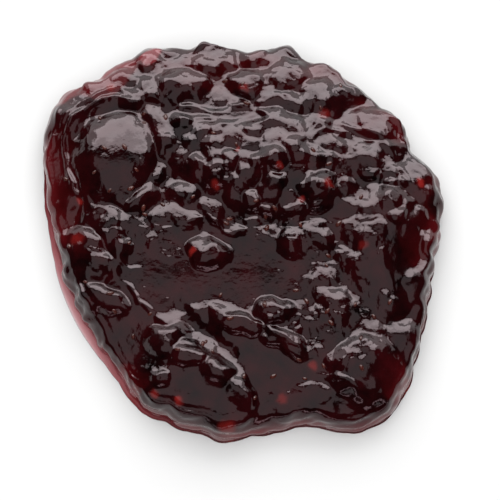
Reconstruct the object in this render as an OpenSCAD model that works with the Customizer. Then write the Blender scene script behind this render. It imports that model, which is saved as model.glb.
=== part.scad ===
// A spoonable heap of berry jam, spread on a flat surface: one soft set mass with a level top,
// rounded edges, a thin run of syrup along one side and lumps of fruit under its skin.

/* [Heap] */
// Width of the heap, left to right
heap_w = 87; // [60:1:130]
// Depth of the heap, front to back
heap_d = 88; // [60:1:130]
// Height of the level top between the lumps
level_h = 9; // [6:0.5:14]

/* [Edge] */
// Height at which the rounded edge turns into the top
edge_h = 7; // [4:0.5:8]
// How far in the rounded edge reaches
edge_run = 2.4; // [1.8:0.2:5]
// How far in the top goes on rising before it is level
rise_run = 14; // [10:1:20]
// Depth of the small waves round the rim
wave = 0.45; // [0:0.05:1]

/* [Syrup] */
// Width of the run of syrup where it has crept furthest
syrup_w = 1.6; // [1:0.2:5]
// Thickness of the run of syrup
syrup_h = 0.9; // [0.5:0.1:2]
// Direction in which the syrup has crept furthest, in degrees from the right
syrup_at = 205; // [0:5:360]
// Angle on either side of that direction within which it thins to a foot
syrup_span = 62; // [20:1:90]
// Width of the foot where the jam wets the surface all round
foot_w = 0.3; // [0.2:0.1:1]
// Thickness of that foot
foot_h = 0.3; // [0.2:0.1:0.5]

/* [Lumps] */
// Scale of every lump's rise
lump_rise = 1; // [0:0.1:1.6]
// Width of the soft crease between lumps, measured in height
crease = 0.7; // [0.2:0.1:1.5]

/* [Mesh] */
// Facets round the rim
sectors = 108; // [60:12:120]
// Rings across the level top
top_rings = 20; // [10:1:22]
// Rings across the rounded edge
edge_rings = 10; // [5:1:11]
// Rings across the syrup or foot
film_rings = 3; // [2:1:4]

/* [Hidden] */

// Rim distance every 15 degrees from the right, turning left, as a share of the half size.
RIM = [0.96, 0.985, 0.94, 0.95, 0.945, 0.975, 0.955, 1.0, 1.075, 1.115, 1.155, 1.045,
       0.975, 0.95, 0.94, 0.945, 1.0, 1.005, 1.01, 0.98, 1.115, 1.105, 1.0, 0.95];
// Lumps that push the rim out: direction and half width in degrees, and how far.
BULGES = [[14, 8, 1.2], [39, 8, 1.2], [62, 6, 1.0], [79, 8, 1.3], [101, 7, 1.4], [117, 6, 1.6],
          [142, 8, 1.2], [240, 10, 0.7], [263, 8, 0.9], [303, 10, 0.8]];
// Waves round the rim: how many, their share of the wave depth and where they start, in degrees.
WAVES = [[13, 0.5, 20], [23, 0.3, 75], [31, 0.2, 160]];

// Lumps of fruit: place across and along as a share of the half size, long and short radius,
// turn in degrees, and rise above the level top.
LUMPS = [
    // the mound in the middle and the swell behind it
    [0.10, 0.36, 22, 13, -12, 2.8],
    [0.05, 0.52, 24, 7, -5, 0.8],
    // back left: one big soft fruit and the fold behind it
    [-0.63, 0.37, 12, 9.8, 80, 3.2],
    [-0.70, 0.72, 11, 3.6, 27, 1.8],
    [-0.47, 0.88, 3.2, 2.8, 0, 1.2],
    // along the back
    [-0.31, 0.74, 7, 4.6, 0, 2.0],
    [-0.18, 0.86, 5.4, 3.6, 10, 1.6],
    [0.03, 0.75, 4.6, 4.6, 0, 2.2],
    [0.24, 0.79, 6, 5, 0, 2.0],
    [0.19, 0.66, 7, 3.8, -12, 1.6],
    [0.41, 0.67, 6.2, 5.4, -20, 2.2],
    // down the right, on a long swell
    [0.70, -0.07, 9.5, 15, 0, 2.3],
    [0.66, 0.55, 5.2, 4.6, 0, 2.0],
    [0.65, 0.36, 5.8, 5, -20, 1.9],
    [0.86, 0.24, 4.4, 6, 15, 1.8],
    [0.82, 0.03, 3.8, 6.4, 0, 2.4],
    [0.84, -0.25, 4, 5.4, -20, 1.9],
    // front right
    [0.61, -0.69, 9, 8, 20, 2.8],
    [0.78, -0.56, 4.2, 5.4, 0, 1.4],
    // front
    [0.31, -0.85, 9, 5, 0, 1.2],
    [-0.01, -0.46, 6, 2.6, -12, 1.7],
    [0.20, -0.56, 6, 2.6, -28, 1.8],
    [-0.13, -0.71, 5.4, 4.2, -30, 2.8],
    [-0.01, -0.81, 4.6, 3.4, -40, 2.4],
    [-0.38, -0.56, 5, 4.6, 20, 2.3],
    [-0.26, -0.63, 5, 4.4, -30, 2.9],
    [-0.38, -0.74, 2.8, 2.8, 0, 2.6],
    [-0.22, -0.82, 15, 10.5, -28, 2.1],
    // down the left
    [-0.68, -0.34, 6.8, 3.6, -30, 2.0],
    [-0.75, -0.11, 6.8, 4.8, -55, 2.2],
    [-0.65, 0.02, 3.6, 4.6, 0, 1.6],
    [-0.85, 0.19, 3, 6, -8, 1.0],
    // in the middle
    [-0.16, -0.12, 5.2, 3.8, -20, 2.3],
    [0.15, -0.40, 4.8, 3, -15, 2.1],
    [0.12, 0.33, 5.8, 4.6, 0, 4.0],
    [-0.11, 0.27, 4.8, 3.8, 20, 3.6],
    [0.38, 0.20, 4.6, 5.6, 0, 3.0],
    [-0.32, 0.50, 6, 3, 12, 1.2],
];

// The larger of two heights, rounded where they are within `soft` of each other.
function soft_max(a, b, soft) =
    let (near = max(soft - abs(a - b), 0) / soft)
    max(a, b) + near * near * soft / 4;

function smooth_step(t) = let (c = min(max(t, 0), 1)) c * c * (3 - 2 * c);

// A full, rounded shoulder: 0 at the outside, 1 once `run` is covered.
function round_over(s, run) = let (t = 1 - min(max(s, 0), run) / run) pow(1 - pow(t, 2.5), 0.4);

// A smooth curve through four values in a row, between the middle two.
function through(p0, p1, p2, p3, t) =
    p1 + t * (p2 - p0 + t * (2 * p0 - 5 * p1 + 4 * p2 - p3 + t * (3 * p1 - 3 * p2 + p3 - p0))) / 2;

function rim_share(angle) =
    let (n = len(RIM), at = angle / 360 * n, i = floor(at))
    through(RIM[(i + n - 1) % n], RIM[i % n], RIM[(i + 1) % n], RIM[(i + 2) % n], at - i);

function rim_wave(angle) =
    let (turns = [for (w = WAVES) w[1] * sin(w[0] * angle + w[2])])
    wave * (turns * [for (w = WAVES) 1]);

// How much of the full syrup width there is in a direction, from 0 to 1.
function syrup_share(angle) =
    let (off = abs((angle - syrup_at + 540) % 360 - 180))
    1 - smooth_step(off / syrup_span);

// How far the rim is pushed out in a direction by the lumps behind it and by its waves.
function rim_push(angle) =
    let (pushes = [for (b = BULGES) b[2] * (1 - smooth_step(abs((angle - b[0] + 540) % 360 - 180) / b[1]))])
    (pushes * [for (b = BULGES) 1]) + rim_wave(angle) * (1 - syrup_share(angle));

function film_width(angle) = foot_w + (syrup_w - foot_w) * syrup_share(angle);

function film_height(angle) = foot_h + (syrup_h - foot_h) * syrup_share(angle);

ANGLES = [for (j = [0 : sectors - 1]) 360 * j / sectors];
DRAWN = [for (a = ANGLES)
    let (r = rim_share(a), push = rim_push(a))
    [(r * heap_w / 2 + push) * cos(a), (r * heap_d / 2 + push) * sin(a)]];
LOW = [min([for (p = DRAWN) p[0]]), min([for (p = DRAWN) p[1]])];
HIGH = [max([for (p = DRAWN) p[0]]), max([for (p = DRAWN) p[1]])];
// The rim, brought to the stated size with its middle over the origin.
RIM_POINTS = [for (p = DRAWN)
    [(p[0] - (LOW[0] + HIGH[0]) / 2) * heap_w / (HIGH[0] - LOW[0]),
     (p[1] - (LOW[1] + HIGH[1]) / 2) * heap_d / (HIGH[1] - LOW[1])]];

// Height of the heap without its lumps, `s` in from the rim, where a film `film_w` wide and
// `film_h` thick runs out from under its edge.
function base_height(s, film_w, film_h) =
    let (
        film = film_h * round_over(s, film_w),
        inside = s - film_w,
        body = edge_h * round_over(inside, edge_run) + (level_h - edge_h) * smooth_step(inside / rise_run)
    )
    inside > 0 ? soft_max(film, body, film_h) : film;

// One lump's paraboloid above a point of the level top; it goes below 0 outside the lump.
function lump_height(lump, p) =
    let (
        away = p - [lump[0] * heap_w / 2, lump[1] * heap_d / 2],
        long = (away[0] * cos(lump[4]) + away[1] * sin(lump[4])) / lump[2],
        short = (away[1] * cos(lump[4]) - away[0] * sin(lump[4])) / lump[3]
    )
    lump_rise * lump[5] * (1 - long * long - short * short);

// The soft union of all lumps from number i on, over the level top.
function relief(p, i = 0, height = 0) =
    i == len(LUMPS) ? height : relief(p, i + 1, soft_max(height, lump_height(LUMPS[i], p), crease));

function surface_point(rim, s, film_w, film_h) =
    let (p = rim * (1 - s / norm(rim)), lifted = round_over(s - film_w, edge_run))
    [p[0], p[1], base_height(s, film_w, film_h) + relief(p) * lifted];

// Distances in from the rim of every ring but the outermost, on a sector `reach` long.
function ring_steps(reach, film_w) = concat(
    [for (i = [1 : film_rings]) film_w * (1 - cos(90 * i / film_rings))],
    [for (i = [1 : edge_rings]) film_w + edge_run * (1 - cos(90 * i / edge_rings))],
    [for (i = [1 : top_rings - 1]) film_w + edge_run + (reach - film_w - edge_run) * i / top_rings]);

RINGS = film_rings + edge_rings + top_rings;

module jam() {
    columns = [for (j = [0 : sectors - 1])
        let (rim = RIM_POINTS[j], film_w = film_width(ANGLES[j]), film_h = film_height(ANGLES[j]))
        concat([[rim[0], rim[1], 0]],
               [for (s = ring_steps(norm(rim), film_w)) surface_point(rim, s, film_w, film_h)])];
    points = concat([for (c = columns) each c], [[0, 0, level_h + relief([0, 0])]]);
    top = len(points) - 1;
    function at(ring, sector) = (sector % sectors) * RINGS + ring;
    slopes = [for (j = [0 : sectors - 1], i = [0 : RINGS - 2]) each [
        [at(i, j), at(i + 1, j), at(i + 1, j + 1)],
        [at(i, j), at(i + 1, j + 1), at(i, j + 1)]]];
    crown = [for (j = [0 : sectors - 1]) [at(RINGS - 1, j), top, at(RINGS - 1, j + 1)]];
    underside = [[for (j = [0 : sectors - 1]) at(0, j)]];
    color([0.24, 0.02, 0.05]) polyhedron(points, concat(slopes, crown, underside), convexity = 6);
}

jam();
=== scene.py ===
"""Dark berry jam spread on a pale table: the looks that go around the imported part."""

import math

import bpy
import numpy as np
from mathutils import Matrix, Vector


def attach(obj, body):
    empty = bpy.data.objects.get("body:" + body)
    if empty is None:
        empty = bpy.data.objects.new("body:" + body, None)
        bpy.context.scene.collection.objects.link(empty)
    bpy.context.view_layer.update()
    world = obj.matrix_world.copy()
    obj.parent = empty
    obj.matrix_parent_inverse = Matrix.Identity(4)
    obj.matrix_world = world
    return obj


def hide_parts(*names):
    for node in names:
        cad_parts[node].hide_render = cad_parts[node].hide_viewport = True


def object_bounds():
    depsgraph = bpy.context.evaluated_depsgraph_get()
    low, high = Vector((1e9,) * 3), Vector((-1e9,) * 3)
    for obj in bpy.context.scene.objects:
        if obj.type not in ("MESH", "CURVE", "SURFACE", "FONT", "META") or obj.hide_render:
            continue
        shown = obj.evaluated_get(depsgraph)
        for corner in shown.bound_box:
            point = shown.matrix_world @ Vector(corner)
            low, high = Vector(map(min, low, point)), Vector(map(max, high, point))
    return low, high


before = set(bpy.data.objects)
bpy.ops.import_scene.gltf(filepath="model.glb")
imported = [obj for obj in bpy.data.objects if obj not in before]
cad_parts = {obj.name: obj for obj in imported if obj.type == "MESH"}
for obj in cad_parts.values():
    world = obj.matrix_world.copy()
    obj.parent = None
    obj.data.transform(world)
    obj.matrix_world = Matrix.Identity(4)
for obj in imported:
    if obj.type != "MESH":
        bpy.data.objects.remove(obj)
cad_low, cad_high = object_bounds()

MM = 0.001
HALF_W = (cad_high.x - cad_low.x) / 2 / MM
HALF_D = (cad_high.y - cad_low.y) / 2 / MM

# The heap, in millimetres, as the part's source has it.
LEVEL_H = 9.0
EDGE_H = 7.0
EDGE_RUN = 2.4
RISE_RUN = 14.0
SYRUP_W = 1.6
SYRUP_H = 0.9
SYRUP_AT = 205.0
SYRUP_SPAN = 62.0
FOOT_W = 0.3
FOOT_H = 0.3

# Facets round the part's own rim, and about how far the rim is from the middle, in millimetres.
RIM_CORNERS = 108
RIM_FAR = 43

# How fine the jam's skin is: columns round the rim, and rows across film, edge and top.
SECTORS = 570
FILM_ROWS = 6
EDGE_ROWS = 30
TOP_ROWS = 132

# Width of the soft crease between lumps, measured in height, and the least height of the skin inside
# its outermost row, both in millimetres.
CREASE = 0.5
THINNEST = 0.02

# Seeds: how many are strewn, how far in from the rim one has to be to stay, and the grid of each.
SEEDS_STREWN = 70
SEED_INSET = 3
SEED_ROWS = 6
SEED_COLUMNS = 9

# Lumps of fruit as in the part's source: place across and along as a share of the half size,
# long and short radius, turn in degrees, and rise above the level top.
LUMPS = np.array([
    # the mound in the middle and the swell behind it
    (0.10, 0.36, 22, 13, -12, 2.8),
    (0.05, 0.52, 24, 7, -5, 0.8),
    # back left: one big soft fruit and the fold behind it
    (-0.63, 0.37, 12, 9.8, 80, 3.2),
    (-0.70, 0.72, 11, 3.6, 27, 1.8),
    (-0.47, 0.88, 3.2, 2.8, 0, 1.2),
    # along the back
    (-0.31, 0.74, 7, 4.6, 0, 2.0),
    (-0.18, 0.86, 5.4, 3.6, 10, 1.6),
    (0.03, 0.75, 4.6, 4.6, 0, 2.2),
    (0.24, 0.79, 6, 5, 0, 2.0),
    (0.19, 0.66, 7, 3.8, -12, 1.6),
    (0.41, 0.67, 6.2, 5.4, -20, 2.2),
    # down the right, on a long swell
    (0.70, -0.07, 9.5, 15, 0, 2.3),
    (0.66, 0.55, 5.2, 4.6, 0, 2.0),
    (0.65, 0.36, 5.8, 5, -20, 1.9),
    (0.86, 0.24, 4.4, 6, 15, 1.8),
    (0.82, 0.03, 3.8, 6.4, 0, 2.4),
    (0.84, -0.25, 4, 5.4, -20, 1.9),
    # front right
    (0.61, -0.69, 9, 8, 20, 2.8),
    (0.78, -0.56, 4.2, 5.4, 0, 1.4),
    # front
    (0.31, -0.85, 9, 5, 0, 1.2),
    (-0.01, -0.46, 6, 2.6, -12, 1.7),
    (0.20, -0.56, 6, 2.6, -28, 1.8),
    (-0.13, -0.71, 5.4, 4.2, -30, 2.8),
    (-0.01, -0.81, 4.6, 3.4, -40, 2.4),
    (-0.38, -0.56, 5, 4.6, 20, 2.3),
    (-0.26, -0.63, 5, 4.4, -30, 2.9),
    (-0.38, -0.74, 2.8, 2.8, 0, 2.6),
    (-0.22, -0.82, 15, 10.5, -28, 2.1),
    # down the left
    (-0.68, -0.34, 6.8, 3.6, -30, 2.0),
    (-0.75, -0.11, 6.8, 4.8, -55, 2.2),
    (-0.65, 0.02, 3.6, 4.6, 0, 1.6),
    (-0.85, 0.19, 3, 6, -8, 1.0),
    # in the middle
    (-0.16, -0.12, 5.2, 3.8, -20, 2.3),
    (0.15, -0.40, 4.8, 3, -15, 2.1),
    (0.12, 0.33, 5.8, 4.6, 0, 4.0),
    (-0.11, 0.27, 4.8, 3.8, 20, 3.6),
    (0.38, 0.20, 4.6, 5.6, 0, 3.0),
    (-0.32, 0.50, 6, 3, 12, 1.2),
])

# Calm stretches of plain jelly: place, long and short radius in millimetres, and turn in degrees.
CALM = np.array([
    (-26, -20.5, 10, 7.5, -35),         # front left
    (-8, -39, 14, 6.5, -15),            # front
    (7, -30.5, 13, 7.5, -25),           # front, in the middle
    (-1, -9, 14, 8.5, -25),             # middle
    (-18, -12, 9, 6.5, -40),            # between the middle and the front left
    (-11, -11, 7, 6, 0),                # where those two meet
    (-4, 25.5, 9, 2.2, -5),             # behind the middle
    (-38.5, 8.5, 4.5, 14, 4),           # left
    (34, -3, 4, 8, -5),                 # right
    (-27.5, 16.5, 11, 9.5, 80),         # the big soft fruit
    (22, -39, 8, 4.0, 10),              # front right
])

# Bunches of small round drupelets, in the same terms.
CLUSTERS = np.array([
    (4, 12.5, 17, 10.5, -13),           # the mound in the middle
    (32, 7, 3.5, 7, 0),                 # right, a little to the back
])

# Clear stretches with little fruit in them: the same, and how much less light they swallow.
CLEAR = np.array([
    (-38.5, 10.5, 6, 15, 4, 0.60),      # left
    (-31, 33.5, 11, 3.5, 27, 0.80),     # back left
    (-20.5, 39, 3.2, 2.6, 0, 0.90),     # back left, at the rim
    (0, 35, 24, 5.5, -3, 0.68),         # back
    (28, 24, 7, 5, -45, 0.65),          # back right
    (37, 2, 5, 12, -5, 0.62),           # right
    (-31.5, -5, 5, 3, -40, 0.55),       # left, towards the front
    (31, -32, 4, 7, 15, 0.60),          # front right
    (-22, -31, 5, 3, -40, 0.50),        # front left
])

# Painted glow of bits of fruit that light catches just under the skin, a brighter red put into the jam's
# colour: place, radius and strength.
GLOWS = np.array([
    (-34.5, 6.5, 0.9, 0.9), (-35, -2, 1.6, 0.6), (-13, -37, 1.0, 0.9), (-18, -35.5, 1.2, 0.6),
    (-3, -42.5, 1.8, 0.6), (15, -29.5, 1.3, 0.5), (38, 10.5, 1.0, 1.0), (18.5, 9.5, 1.4, 0.9),
    (-10.5, -5, 0.9, 1.0), (-28.5, 32, 1.2, 0.7), (17.5, 25.5, 1.4, 0.5), (0.5, 31.5, 1.2, 0.5),
    (35, -32.5, 1.6, 0.6), (25.5, -4, 1.2, 0.4), (-5.5, 9.5, 1.0, 0.6), (8, 13, 0.9, 0.8),
    (-1, 17, 0.8, 0.6), (12.5, 6, 0.9, 0.6), (-22.5, -34.5, 1.4, 0.5), (8.5, -36.5, 1.2, 0.4),
])

# Small folds in the skin, or a groove where the rise is below 0: width and rise in millimetres, and
# the points they run through.
FOLDS = [
    (0.6, 0.85, [(-20, 28.5), (-27, 29.5), (-33, 28), (-37, 24), (-38, 18), (-36.5, 11), (-32.5, 6)]),
    (0.5, 0.50, [(-22, 31), (-28, 31.5), (-34, 29.5), (-38.5, 25), (-39.5, 18)]),
    (0.7, 0.40, [(-18.5, 26.5), (-11.5, 28), (-5.5, 26), (0, 28), (5, 27.5)]),
    (0.6, 0.30, [(-16.5, 24.5), (-9.5, 25), (-3.5, 23.5), (3, 25)]),
    (0.8, 0.45, [(19, 24), (25, 22.5), (31, 19.5), (33.5, 15), (33, 11)]),
    (0.6, 0.35, [(15, 20), (18.5, 22), (22.5, 21.5), (24, 18)]),
    (0.5, 0.45, [(-25.5, -11.5), (-23, -13.5), (-21.5, -16), (-19, -18)]),
    (1.9, -1.1, [(-15, -15), (-11, -19), (-6, -24), (-1, -28)]),
    (0.8, 0.55, [(-5.5, -18.5), (2, -20), (9, -23.5), (14.5, -27)]),
    (0.6, 0.35, [(-25, 0), (-26.5, -4), (-25, -8), (-21.5, -9)]),
    (0.7, 0.50, [(14.5, -31.5), (21, -32.5), (25.5, -36.5), (27.5, -39)]),
    (0.8, 0.45, [(29.5, -28), (33.5, -29.5), (34, -34.5)]),
    (0.6, 0.35, [(-12.5, 1), (-7.5, 3), (-2.5, -1), (3, 0)]),
]


# ---------------------------------------------------------------- shapes of heights

def smooth_step(t):
    """3 t squared less 2 t cubed, held between 0 and 1."""
    t = np.clip(t, 0, 1)
    return t * t * (3 - 2 * t)


def round_over(s, run):
    """A full, rounded shoulder: 1 less t to the 2.5, all to the 0.4, where t falls from 1 at the outside to
    0 at run."""
    return (1 - (1 - np.clip(s / run, 0, 1)) ** 2.5) ** 0.4


def soft_max(a, b, soft):
    """The larger of a and b, raised by a quarter of soft times the square of how near they are, which is 1
    where they are the same and 0 where they are soft apart."""
    near = np.maximum(soft - np.abs(a - b), 0) / soft
    return np.maximum(a, b) + near * near * soft / 4


def through(p0, p1, p2, p3, t):
    """A smooth curve through four points in a row, between the middle two: the cubic in t whose slope at
    each of those is half the step from its neighbour before to its neighbour after."""
    cubic = t * (2 * p0 - 5 * p1 + 4 * p2 - p3 + t * (3 * p1 - 3 * p2 + p3 - p0))
    return (2 * p1 + t * (p2 - p0 + cubic)) / 2


def turned_from(angles, direction):
    """How far each angle is from a direction, 0 to 180 degrees: their difference, wrapped to half a turn."""
    return np.abs((angles - direction + 540) % 360 - 180)


def value_noise(x, y, cell, seed):
    """Random heights on a square lattice of side cell, joined by a quintic ease, from -1 to 1."""
    side = 256
    table = np.random.default_rng(seed).uniform(-1, 1, (side, side))
    u, v = x / cell + side // 2, y / cell + side // 2
    i, j = np.floor(u).astype(int), np.floor(v).astype(int)
    fu, fv = (t * t * t * (t * (6 * t - 15) + 10) for t in (u - i, v - j))
    i, j = i % (side - 1), j % (side - 1)
    low = table[i, j] * (1 - fu) + table[i + 1, j] * fu
    high = table[i, j + 1] * (1 - fu) + table[i + 1, j + 1] * fu
    return low * (1 - fv) + high * fv


def layered_noise(x, y, cell, seed):
    """Value noise, plus half of one with cells half as wide."""
    return value_noise(x, y, cell, seed) + value_noise(x, y, cell / 2, seed + 1) / 2


def bent(x, y, cell, amount, seed):
    """The same places, each moved across and along by amount times its own layered noise, so that round
    lumps come out uneven."""
    return x + amount * layered_noise(x, y, cell, seed), y + amount * layered_noise(x, y, cell, seed + 5)


def in_radii(dx, dy, long_r, short_r, turn):
    """How far a place is along and across a turned oval, each as a share of that radius."""
    c, s = math.cos(math.radians(turn)), math.sin(math.radians(turn))
    return (dx * c + dy * s) / long_r, (dy * c - dx * s) / short_r


def domes(x, y, lumps, flat=1.0):
    """The soft union of domes, rise * (1 - distance in radii to the power of 2 * flat), over a level of 0.
    Each row of lumps is x, y, long radius, short radius, turn in degrees, rise."""
    height = np.zeros_like(x)
    for cx, cy, long_r, short_r, turn, rise in lumps:
        near = np.hypot(x - cx, y - cy) < 1.5 * max(long_r, short_r)
        along, across = in_radii(x[near] - cx, y[near] - cy, long_r, short_r, turn)
        height[near] = soft_max(height[near], rise * (1 - (along**2 + across**2) ** flat), CREASE)
    return height


def pieces(x, y, size, seed, least=0.35):
    """Fruit packed side by side: the soft union of domes 1 - (distance over reach) squared, one in each
    square of a lattice of the given size, at a random place in it and least to 1 high. Runs from 0 to
    about 1."""
    side, crease = 128, 0.25
    rng = np.random.default_rng(seed)
    shift = rng.uniform(0.12, 0.88, (side, side, 2))
    high = rng.uniform(least, 1, (side, side))
    reach = rng.uniform(0.62, 0.85, (side, side))
    u, v = x / size + side // 2, y / size + side // 2
    i, j = np.floor(u).astype(int), np.floor(v).astype(int)
    height = np.zeros_like(x)
    for di in (-1, 0, 1):
        for dj in (-1, 0, 1):
            a, b = (i + di) % side, (j + dj) % side
            away = np.hypot(u - i - di - shift[a, b, 0], v - j - dj - shift[a, b, 1]) / reach[a, b]
            height = soft_max(height, high[a, b] * (1 - away**2), crease)
    return height


def inside_ovals(ovals, x, y):
    """0 to 1: a smooth step from 1.15 radii in to 0.75 radii of each oval, times its strength if it has one,
    the greatest of all."""
    share = np.zeros_like(x)
    for cx, cy, long_r, short_r, turn, *strength in ovals:
        along, across = in_radii(x - cx, y - cy, long_r, short_r, turn)
        inside = smooth_step((1.15 - np.hypot(along, across)) / 0.4)
        share = np.maximum(share, inside * (strength[0] if strength else 1))
    return share


def smooth_path(points):
    """A smooth curve through the points, as places about a step apart: a cubic for each four in a row, with
    one more point added in line at each end."""
    step = 0.4
    p = np.array(points, float)
    p = np.concatenate([[2 * p[0] - p[1]], p, [2 * p[-1] - p[-2]]])
    parts = []
    for p0, p1, p2, p3 in zip(p[:-3], p[1:-2], p[2:-1], p[3:]):
        t = np.arange(0, 1, step / max(np.hypot(*(p2 - p1)), step))[:, None]
        parts.append(through(p0, p1, p2, p3, t))
    return np.concatenate(parts + [p[-2:-1]])


def folds(x, y):
    """Bell shaped ridges, rise * e to the minus (distance over width) squared, times the square root of a
    sine along the fold, which thins it to both ends."""
    height = np.zeros_like(x)
    for width, rise, points in FOLDS:
        path = smooth_path(points)
        low, high = path.min(axis=0) - 3 * width, path.max(axis=0) + 3 * width
        near = (x > low[0]) & (x < high[0]) & (y > low[1]) & (y < high[1])
        away = np.hypot(x[near][:, None] - path[:, 0], y[near][:, None] - path[:, 1])
        nearest = away.argmin(axis=1) if near.any() else np.zeros(0, int)
        away = away[np.arange(len(nearest)), nearest]
        taper = np.sqrt(np.sin(np.pi * (nearest + 0.5) / (len(path) + 1)))
        height[near] += rise * taper * np.exp(-(away / width) ** 2)
    return height


# ---------------------------------------------------------------- the heap

def rim_corners():
    """The part's rim: how far its lowest corners are from the middle, read off at even directions with
    straight lines from corner to corner."""
    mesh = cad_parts["jam"].data
    co = np.empty(len(mesh.vertices) * 3)
    mesh.vertices.foreach_get("co", co)
    co = co.reshape(-1, 3) / MM
    ring = np.unique(np.round(co[co[:, 2] < 0.01][:, :2], 3), axis=0)
    turn = np.degrees(np.arctan2(ring[:, 1], ring[:, 0])) % 360
    order = np.argsort(turn)
    even = np.arange(RIM_CORNERS) * 360 / RIM_CORNERS
    return np.interp(even, turn[order], np.hypot(*ring[order].T), period=360)


RIM = rim_corners()


def syrup_share(angles):
    """How much of the full run of syrup there is in each direction: 1 less a smooth step of how far it is
    from where the syrup has crept furthest."""
    return 1 - smooth_step(turned_from(angles, SYRUP_AT) / SYRUP_SPAN)


def rim_reach(angles):
    """Distance from the middle to the rim: a smooth curve through the corners, plus round lobes, which are
    the sizes of sines of 17 and 29 times the direction, where no syrup runs."""
    at = angles / 360 * len(RIM)
    i = np.floor(at).astype(int)
    p0, p1, p2, p3 = (RIM[(i + k) % len(RIM)] for k in (-1, 0, 1, 2))
    turn = np.radians(angles)
    lobes = np.abs(np.sin(17 * turn + 2 * np.sin(3 * turn + 1))) + 0.4 * np.abs(np.sin(29 * turn)) - 0.9
    return through(p0, p1, p2, p3, at - i) + 0.5 * lobes * (1 - syrup_share(angles))


def edge_shape(angles):
    """Width and height of the film, and run of the rounded edge, in each direction. The first two go from
    the foot's to the syrup's, and the syrup's width and the run wander by sums of three sines."""
    share, turn = syrup_share(angles), np.radians(angles)
    lobes = np.sin(29 * turn + 1) + 0.7 * np.sin(43 * turn + 4) + 0.5 * np.sin(67 * turn)
    swell = np.sin(5 * turn + 2) + 0.9 * np.sin(11 * turn + 5) + 0.8 * np.sin(17 * turn + 1)
    film_w = FOOT_W + (SYRUP_W - FOOT_W) * share + 0.25 * np.maximum(lobes, -1.2) * share
    film_h = FOOT_H + (SYRUP_H - FOOT_H) * share
    return film_w, film_h, EDGE_RUN + 0.35 * swell


def base_height(s, film_w, film_h, edge_run):
    """The heap without its lumps, s in from the rim: the soft union of the film, a rounded shoulder, and the
    body, which is a second shoulder further in plus a smooth step up to the level top."""
    film = film_h * round_over(s, film_w)
    inside = s - film_w
    body = EDGE_H * round_over(inside, edge_run) + (LEVEL_H - EDGE_H) * smooth_step(inside / RISE_RUN)
    return np.where(inside > 0, soft_max(film, body, film_h), film)


def edge_ripples(angles, s, film_w):
    """Sagging folds along the edge, strongest at the front: a sine of the distance in, under a bell over the
    rounded edge. Its phase and strength wander with direction."""
    turn = np.radians(angles)
    phase = 2.2 * np.sin(3 * turn + 1) + 1.5 * np.sin(7 * turn + 4) + 0.7 * np.sin(13 * turn)
    front = 1 - smooth_step(turned_from(angles, 245) / 125)
    band = np.exp(-((s - film_w - 2.2) / 1.9) ** 2)
    return 0.13 * (0.3 + front) * band * (0.7 + 0.3 * np.sin(7 * turn + 2)) * np.sin(s / 0.36 + phase)


def crinkles(x, y):
    """Fine grooves, 0 to 1 deep: e to the minus (noise over 0.17) squared, so they run where it is near 0,
    times a smooth step of a coarser noise."""
    noise = layered_noise(*bent(x, y, 1.5, 0.3, seed=151), 3.4, seed=161)
    return smooth_step(0.5 + layered_noise(x, y, 9, seed=171)) * np.exp(-(noise / 0.17) ** 2)


def relief(x, y):
    """All that stands above the level top, in millimetres: the soft union of the big lumps that the part has
    too with loose fruit between them, plus folds, a slow swell, small pieces, drupelets in the bunches and
    fine pieces, less crinkles. Calm jelly has no loose or small pieces and few fine ones."""
    big = LUMPS * np.array([HALF_W, HALF_D, 1, 1, 1, 1])
    rough, cluster = 1 - inside_ovals(CALM, x, y), inside_ovals(CLUSTERS, x, y)
    between, fine = rough * (1 - cluster), 0.1 + 0.9 * rough
    loose = 2.4 * pieces(*bent(x, y, 4, 0.9, seed=71), 7.0, seed=70) - 0.45
    lumps = domes(*bent(x, y, 4, 0.9, seed=11), big, flat=1.4)
    height = soft_max(lumps, between * loose + 0.8 * domes(x, y, big[:2]), CREASE)
    height += folds(*bent(x, y, 3, 0.55, seed=41)) + 0.3 * layered_noise(x, y, 12, seed=61)
    height += between * 0.5 * pieces(*bent(x, y, 2.4, 0.45, seed=81), 3.4, seed=80, least=0.0)
    height += cluster * 1.6 * pieces(*bent(x, y, 2.6, 0.5, seed=91), 4.3, seed=90, least=0.3)
    height -= fine * 0.16 * crinkles(x, y)
    return height + fine * 0.09 * pieces(*bent(x, y, 1, 0.15, seed=101), 1.4, seed=100)


def skin_height(x, y):
    """Height of the jam's skin at any place, and the distance in from the rim, both in millimetres: the bare
    heap, plus the relief and the ripples, which rise from nothing over the rounded edge."""
    angles = np.degrees(np.arctan2(y, x)) % 360
    s = np.maximum(rim_reach(angles) - np.hypot(x, y), 0)
    film_w, film_h, edge_run = edge_shape(angles)
    lifted = round_over(s - film_w, edge_run)
    z = base_height(s, film_w, film_h, edge_run) + relief(x, y) * lifted
    return z + edge_ripples(angles, s, film_w) * lifted, s


def eased(rows):
    """A column of shares from 0 to next to 1: 1 less the cosine of a quarter turn taken in even steps."""
    return 1 - np.cos(np.pi / 2 * np.arange(rows)[:, None] / rows)


def heap_grid():
    """Rows of places from the rim to next to the middle: eased across the film and again across the rounded
    edge, which puts them close together where it is steep, then even to the middle."""
    angles = np.arange(SECTORS) * 360 / SECTORS
    reach = rim_reach(angles)
    film_w, _, edge_run = edge_shape(angles)
    film = film_w * eased(FILM_ROWS)
    edge = film_w + edge_run * eased(EDGE_ROWS)
    start = film_w + edge_run
    top = start + (reach - start) * np.arange(TOP_ROWS)[:, None] / TOP_ROWS
    r = reach - np.concatenate([film, edge, top])
    return r * np.cos(np.radians(angles)), r * np.sin(np.radians(angles))


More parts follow.
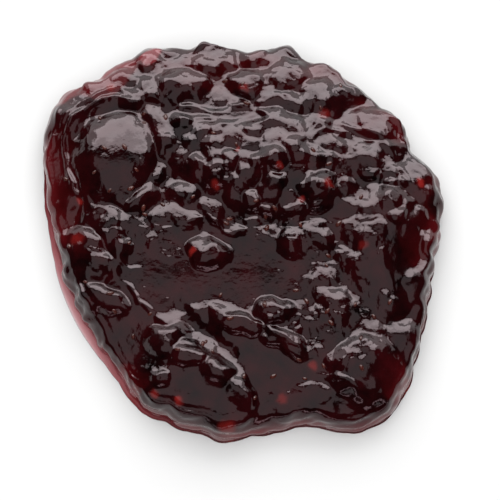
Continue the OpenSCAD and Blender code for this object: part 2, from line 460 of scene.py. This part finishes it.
def flank_push(x, y, z, s):
    """How far the steep flank is pushed out, as a share of the distance from the middle: pieces of fruit
    laid out along the rim and up the flank, and a sine of the height whose phase and strength wander with
    direction. Both fade to nothing at the foot and on the top."""
    turn = np.arctan2(y, x)
    phase = 5 * np.sin(4 * turn + 2) + 3 * np.sin(9 * turn + 1) + 1.8 * np.sin(23 * turn)
    strength = 0.16 * (0.8 + 0.6 * np.sin(6 * turn + 1) * np.sin(17 * turn))
    along = RIM_FAR * np.abs(turn) + 0.8 * np.sin(11 * turn)
    up = 1.1 * z + 3 * np.sin(5 * turn)
    fruit = 0.9 * pieces(along, up, 5.0, seed=140, least=0.1) - 0.35
    steep = smooth_step((z - 0.8) / 1.2) * smooth_step((4.2 - s) / 2.5)
    return steep * (strength * np.sin(z / 0.55 + phase) + fruit) / np.maximum(np.hypot(x, y), 1)


def light_path(x, y, z, s):
    """How much jam light goes through, in millimetres: a thin coat, plus the jam's height less a share of it
    that falls off as e to the minus s over 2.5 from the rim, greatest at the left, and less again in the
    clear stretches, plus 0.6 and more at the very foot where no syrup runs. The more at the foot, up to 2.5
    where the skin meets the table, is painted shade that darkens the contact line."""
    angles = np.degrees(np.arctan2(y, x)) % 360
    thin = 0.84 + 0.10 * smooth_step(1.3 - turned_from(angles, 155) / 100)
    clear = inside_ovals(CLEAR, *bent(x, y, 6, 1.5, seed=121))
    # where no syrup runs: 0.6 more everywhere, and painted shade at the foot, up to 2.5 more where the skin
    # is lowest, darkening the contact line with the table
    no_syrup_and_foot_shade = (1 - syrup_share(angles)) * (0.6 + 2.5 * np.exp(-z / 0.9))
    return 0.2 + 0.2 * smooth_step(s / 0.8) + no_syrup_and_foot_shade + z * (1 - thin * np.exp(-s / 2.5)) * (1 - clear)


def glow_strength(x, y):
    """How strongly the painted glow of bits of fruit under the skin shows: each one's strength times e to
    the minus fourth power of the distance over 0.8 of its radius, summed."""
    glow = np.zeros_like(x)
    u, v = bent(x, y, 1.6, 0.4, seed=131)
    for cx, cy, radius, strength in GLOWS:
        glow += strength * np.exp(-(np.hypot(u - cx, v - cy) / (0.8 * radius)) ** 4)
    return glow


def ring_faces(rows, columns):
    """Four-sided faces of a grid of points, row after row, whose columns close into a ring: a point, the one
    beside it, and the two next to those in the following row."""
    across = np.arange(columns)
    beside = (across + 1) % columns
    row = np.arange(rows - 1)[:, None] * columns
    corners = [row + across, row + beside, row + columns + beside, row + columns + across]
    return np.stack(corners, axis=-1).reshape(-1, 4)


def write_attribute(mesh, name, values):
    """One number for each of the mesh's points, for its material to read."""
    mesh.attributes.new(name, "FLOAT", "POINT").data.foreach_set("value", values.astype(np.float32))


def heap_mesh():
    """The jam's whole skin, the grid at its height with the flank pushed out, closed by a fan of triangles
    to its top middle and by another to the middle of its flat underside."""
    x, y = heap_grid()
    z, s = skin_height(x, y)
    z = np.maximum(z, THINNEST)
    z[0] = 0
    push = flank_push(x, y, z, s)
    x, y = x * (1 + push), y * (1 + push)
    rows, columns = z.shape
    skin = np.stack([x, y, z], axis=-1).reshape(-1, 3)
    points = np.concatenate([skin, [[0, 0, z[-1].mean()], [0, 0, 0]]]) * MM
    across = np.arange(columns)
    beside = (across + 1) % columns
    last = (rows - 1) * columns
    crown = np.stack([last + across, last + beside, np.full(columns, len(skin))], axis=-1)
    fan = np.stack([beside, across, np.full(columns, len(skin) + 1)], axis=-1)
    faces = ring_faces(rows, columns).tolist() + crown.tolist() + fan.tolist()
    mesh = bpy.data.meshes.new("jam_heap")
    mesh.from_pydata(points.tolist(), [], faces)
    mesh.shade_smooth()
    write_attribute(mesh, "depth", np.concatenate([light_path(x, y, z, s).ravel(), [LEVEL_H, 0.0]]))
    write_attribute(mesh, "glow", np.concatenate([glow_strength(x, y).ravel(), [0.0, 0.0]]))
    return mesh


def seed_egg():
    """Places along, across and up on a squashed egg: those of a sphere, along times 1 plus a quarter of how
    high they are, across times 0.62, and up times 0.5."""
    lat = np.linspace(-np.pi / 2, np.pi / 2, SEED_ROWS)[:, None]
    lon = np.arange(SEED_COLUMNS)[None] * 2 * np.pi / SEED_COLUMNS
    high = (np.sin(lat) * np.ones_like(lon)).ravel()
    along = (np.cos(lat) * np.cos(lon)).ravel() * (1 + 0.25 * high)
    across = 0.62 * (np.cos(lat) * np.sin(lon)).ravel()
    return along, across, 0.5 * high


def seeds_mesh():
    """Small seeds half sunk in the skin: eggs at random places spread evenly over a disc, each laid along
    the slope with a random heading, 0.55 to 0.9 in half length, and a random share of that up or down."""
    rng = np.random.default_rng(17)
    r = RIM_FAR * np.sqrt(rng.uniform(0, 1, SEEDS_STREWN))
    turn = rng.uniform(0, 2 * np.pi, SEEDS_STREWN)
    x, y = r * np.cos(turn), r * np.sin(turn)
    z, s = skin_height(x, y)
    keep = s > SEED_INSET
    x, y, z, count = x[keep], y[keep], z[keep], int(keep.sum())
    step = 0.3
    slope_x = (skin_height(x + step, y)[0] - z) / step
    slope_y = (skin_height(x, y + step)[0] - z) / step
    up = np.stack([-slope_x, -slope_y, np.ones(count)], axis=1)
    up /= np.linalg.norm(up, axis=1)[:, None]
    heading = rng.uniform(0, 2 * np.pi, count)
    along = np.cross(up, np.stack([np.cos(heading), np.sin(heading), np.zeros(count)], axis=1))
    along /= np.linalg.norm(along, axis=1)[:, None]
    across = np.cross(up, along)
    size = rng.uniform(0.55, 0.9, count)
    lift = size * rng.uniform(-0.25, 0.1, count)
    centre = np.stack([x, y, z], axis=1) + up * lift[:, None]
    a, b, c = (share[None, :, None] for share in seed_egg())
    shape = a * along[:, None] + b * across[:, None] + c * up[:, None]
    points = (centre[:, None] + size[:, None, None] * shape).reshape(-1, 3) * MM
    start = np.arange(count)[:, None, None] * SEED_ROWS * SEED_COLUMNS
    faces = (start + ring_faces(SEED_ROWS, SEED_COLUMNS)).reshape(-1, 4)
    mesh = bpy.data.meshes.new("jam_seeds")
    mesh.from_pydata(points.tolist(), [], faces.tolist())
    mesh.shade_smooth()
    return mesh


# ---------------------------------------------------------------- materials

def node(tree, kind, settings=None, **inputs):
    """A new node. Inputs are by socket name with _ for a space, or by i and a number. Each is a value or a
    socket."""
    made = tree.nodes.new(kind)
    for name, value in (settings or {}).items():
        setattr(made, name, value)
    for name, value in inputs.items():
        numbered = name[0] == "i" and name[1:].isdigit()
        socket = made.inputs[int(name[1:])] if numbered else made.inputs[name.replace("_", " ")]
        if isinstance(value, bpy.types.NodeSocket):
            tree.links.new(value, socket)
        else:
            socket.default_value = value
    return made


def empty_material(name):
    """A new material with no nodes in it, and its tree."""
    material = bpy.data.materials.new(name)
    material.use_nodes = True
    material.node_tree.nodes.clear()
    return material, material.node_tree


def jelly_colour(tree, place):
    """For each of red, green and blue: a third of e to the minus loss times depth, which is what is left of
    white light after its way down and back, plus a share of the jam's own maroon, which is patchy. A
    brighter red for the bits of fruit that glow is mixed in: a painted glow."""
    depth = node(tree, "ShaderNodeAttribute", {"attribute_name": "depth"}).outputs["Fac"]
    glow = node(tree, "ShaderNodeAttribute", {"attribute_name": "glow"}).outputs["Fac"]
    patches = node(tree, "ShaderNodeTexNoise", Vector=place, Scale=160.0, Detail=3.0, Roughness=0.6)
    own = node(tree, "ShaderNodeMapRange", Value=patches.outputs["Fac"], From_Min=0.3, From_Max=0.75,
               To_Min=0.0005, To_Max=0.0075).outputs[0]
    channels = []
    for loss, share in ((1.1, 1.0), (2.2, 0.05), (2.1, 0.09)):
        fade = node(tree, "ShaderNodeMath", {"operation": "MULTIPLY"}, i0=depth, i1=-loss)
        left = node(tree, "ShaderNodeMath", {"operation": "EXPONENT"}, i0=fade.outputs[0])
        base = node(tree, "ShaderNodeMath", {"operation": "MULTIPLY"}, i0=own, i1=share)
        both = node(tree, "ShaderNodeMath", {"operation": "MULTIPLY_ADD"}, i0=left.outputs[0], i1=0.33,
                    i2=base.outputs[0])
        channels.append(both.outputs[0])
    jelly = node(tree, "ShaderNodeCombineColor", Red=channels[0], Green=channels[1], Blue=channels[2])
    # painted glow: a brighter red mixed into the colour wherever the glow attribute is high
    return node(tree, "ShaderNodeMix", {"data_type": "RGBA"}, i0=glow, i6=jelly.outputs[0],
                i7=(0.062, 0.0035, 0.003, 1)).outputs[2]


def jam_material():
    """Glossy jelly, duller in patches, with a skin that is faintly uneven by a fine noise and has small pits
    round the middles of random cells."""
    material, tree = empty_material("jam_jelly")
    place = node(tree, "ShaderNodeTexCoord").outputs["Object"]
    grain = node(tree, "ShaderNodeTexNoise", Vector=place, Scale=900.0, Detail=3.0, Roughness=0.5)
    pits = node(tree, "ShaderNodeTexVoronoi", Vector=place, Scale=330.0)
    hollow = node(tree, "ShaderNodeMapRange", {"interpolation_type": "SMOOTHSTEP"},
                  Value=pits.outputs["Distance"], From_Min=0.06, From_Max=0.16, To_Min=0.0, To_Max=1.0)
    skin = node(tree, "ShaderNodeMath", {"operation": "MULTIPLY_ADD"}, i0=hollow.outputs[0], i1=0.8,
                i2=grain.outputs["Fac"])
    bump = node(tree, "ShaderNodeBump", Height=skin.outputs[0], Strength=0.18, Distance=0.0004)
    dull = node(tree, "ShaderNodeTexNoise", Vector=place, Scale=130.0, Detail=3.0, Roughness=0.6)
    gloss = node(tree, "ShaderNodeMapRange", Value=dull.outputs["Fac"], From_Min=0.42, From_Max=0.65,
                 To_Min=0.035, To_Max=0.15)
    surface = node(tree, "ShaderNodeBsdfPrincipled", Base_Color=jelly_colour(tree, place),
                   Roughness=gloss.outputs[0], IOR=1.45, Specular_Tint=(1, 0.84, 0.88, 1),
                   Normal=bump.outputs["Normal"])
    node(tree, "ShaderNodeOutputMaterial", Surface=surface.outputs[0])
    return material


def seed_material():
    """Brown seeds under a coat of jam, mixed from two browns by noise, with dimples from random cells."""
    material, tree = empty_material("jam_seed")
    place = node(tree, "ShaderNodeTexCoord").outputs["Object"]
    tone = node(tree, "ShaderNodeTexNoise", Vector=place, Scale=300.0, Detail=2.0)
    colour = node(tree, "ShaderNodeMix", {"data_type": "RGBA"}, i0=tone.outputs["Fac"],
                  i6=(0.005, 0.001, 0.001, 1), i7=(0.03, 0.006, 0.004, 1))
    dimples = node(tree, "ShaderNodeTexVoronoi", Vector=place, Scale=3500.0)
    bump = node(tree, "ShaderNodeBump", Height=dimples.outputs["Distance"], Strength=0.4, Distance=0.0001)
    gloss = node(tree, "ShaderNodeMapRange", Value=tone.outputs["Fac"], To_Min=0.06, To_Max=0.16)
    surface = node(tree, "ShaderNodeBsdfPrincipled", Base_Color=colour.outputs[2],
                   Roughness=gloss.outputs[0], IOR=1.45, Normal=bump.outputs["Normal"])
    node(tree, "ShaderNodeOutputMaterial", Surface=surface.outputs[0])
    return material


def floor_material():
    """Plain matt table top, very faintly mottled by a coarse noise and grained by a fine one."""
    material, tree = empty_material("table_white")
    place = node(tree, "ShaderNodeTexCoord").outputs["Object"]
    mottle = node(tree, "ShaderNodeTexNoise", Vector=place, Scale=12.0, Detail=2.0)
    colour = node(tree, "ShaderNodeMix", {"data_type": "RGBA"}, i0=mottle.outputs["Fac"],
                  i6=(0.238, 0.238, 0.238, 1), i7=(0.244, 0.244, 0.244, 1))
    grain = node(tree, "ShaderNodeTexNoise", Vector=place, Scale=700.0, Detail=2.0)
    bump = node(tree, "ShaderNodeBump", Height=grain.outputs["Fac"], Strength=0.05, Distance=0.0001)
    gloss = node(tree, "ShaderNodeMapRange", Value=mottle.outputs["Fac"], To_Min=0.56, To_Max=0.64)
    surface = node(tree, "ShaderNodeBsdfPrincipled", Base_Color=colour.outputs[2],
                   Roughness=gloss.outputs[0], Normal=bump.outputs["Normal"])
    node(tree, "ShaderNodeOutputMaterial", Surface=surface.outputs[0])
    return material


# ---------------------------------------------------------------- scene

def add(mesh, name, material):
    """A mesh as a new object with one material."""
    made = bpy.data.objects.new(name, mesh)
    mesh.materials.append(material)
    bpy.context.scene.collection.objects.link(made)
    return made


def area_light(name, place, target, size, radiance, in_gloss=True, colour=(1, 1, 1)):
    """A rectangular soft light aimed at a point. Its power is radiance times pi times its area, so it looks
    as bright however large it is. With in_gloss off it lights things but isn't mirrored in them."""
    lamp = bpy.data.lights.new(name, "AREA")
    lamp.shape = "RECTANGLE"
    lamp.size, lamp.size_y = size
    lamp.energy = radiance * math.pi * size[0] * size[1]
    lamp.color = colour
    made = bpy.data.objects.new(name, lamp)
    made.location = place
    made.rotation_euler = (Vector(target) - Vector(place)).to_track_quat("-Z", "Y").to_euler()
    made.visible_camera = False
    made.visible_glossy = in_gloss
    bpy.context.scene.collection.objects.link(made)


def add_lights():
    """A big softbox behind, a pale wall beyond it, a dim ceiling above, a low rosy wall in front, and two
    fills that no gloss mirrors."""
    area_light("softbox_back", (0, 0.64, 0.56), (0, 0, 0), (1.1, 0.64), 5.2)
    area_light("backdrop_behind", (0, 1.25, 0.60), (0, 0, 0.1), (3.4, 1.3), 1.7)
    area_light("ceiling_above", (-0.01, -0.09, 0.75), (-0.01, -0.09, 0), (0.84, 0.68), 0.85)
    area_light("wall_front", (0, -1.3, 0.30), (0, 0, 0), (1.8, 0.14), 2.8, colour=(1, 0.78, 0.83))
    area_light("fill_front", (0, -0.75, 0.75), (0, 0, 0), (2.2, 1.2), 1.8, False)
    area_light("fill_above", (0, -0.1, 1.0), (0, -0.1, 0), (2.2, 2.0), 4.0, False)


def add_camera():
    """Nearly overhead and square on. Its lens is the sensor's width times the distance over the width
    that it sees."""
    lens = bpy.data.cameras.new("camera")
    distance, elevation, seen, sensor = 0.5, math.radians(74), 0.1065, 36
    lens.lens = sensor * distance / seen
    made = bpy.data.objects.new("camera", lens)
    back = Vector((0, -math.cos(elevation), math.sin(elevation)))
    made.location = Vector((0.0017, -0.0035, 0.006)) + back * distance
    made.rotation_euler = (-back).to_track_quat("-Z", "Y").to_euler()
    bpy.context.scene.collection.objects.link(made)
    bpy.context.scene.camera = made


def add_world():
    """Dim surroundings, and a pale backdrop where the camera looks past the table."""
    world = bpy.data.worlds.new("studio")
    bpy.context.scene.world = world
    world.use_nodes = True
    tree = world.node_tree
    tree.nodes.clear()
    seen = node(tree, "ShaderNodeLightPath").outputs["Is Camera Ray"]
    dim = node(tree, "ShaderNodeBackground", Color=(1, 1, 1, 1), Strength=0.035)
    pale = node(tree, "ShaderNodeBackground", Color=(1, 1, 1, 1), Strength=0.9)
    mixed = node(tree, "ShaderNodeMixShader", i0=seen, i1=dim.outputs[0], i2=pale.outputs[0])
    node(tree, "ShaderNodeOutputWorld", Surface=mixed.outputs[0])


def add_floor():
    """A wide table top just under the heap."""
    side, low = 2.0, -0.00004
    mesh = bpy.data.meshes.new("table")
    corners = [(-side, -side, low), (side, -side, low), (side, side, low), (-side, side, low)]
    mesh.from_pydata(corners, [], [(0, 1, 2, 3)])
    add(mesh, "table", floor_material())


add_camera()
add_world()
add_floor()
add_lights()

heap = add(heap_mesh(), "jam_heap", jam_material())
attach(heap, "root")
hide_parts("jam")

seeds = add(seeds_mesh(), "jam_seeds", seed_material())
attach(seeds, "root")

bpy.context.scene.view_settings.view_transform = "Standard"
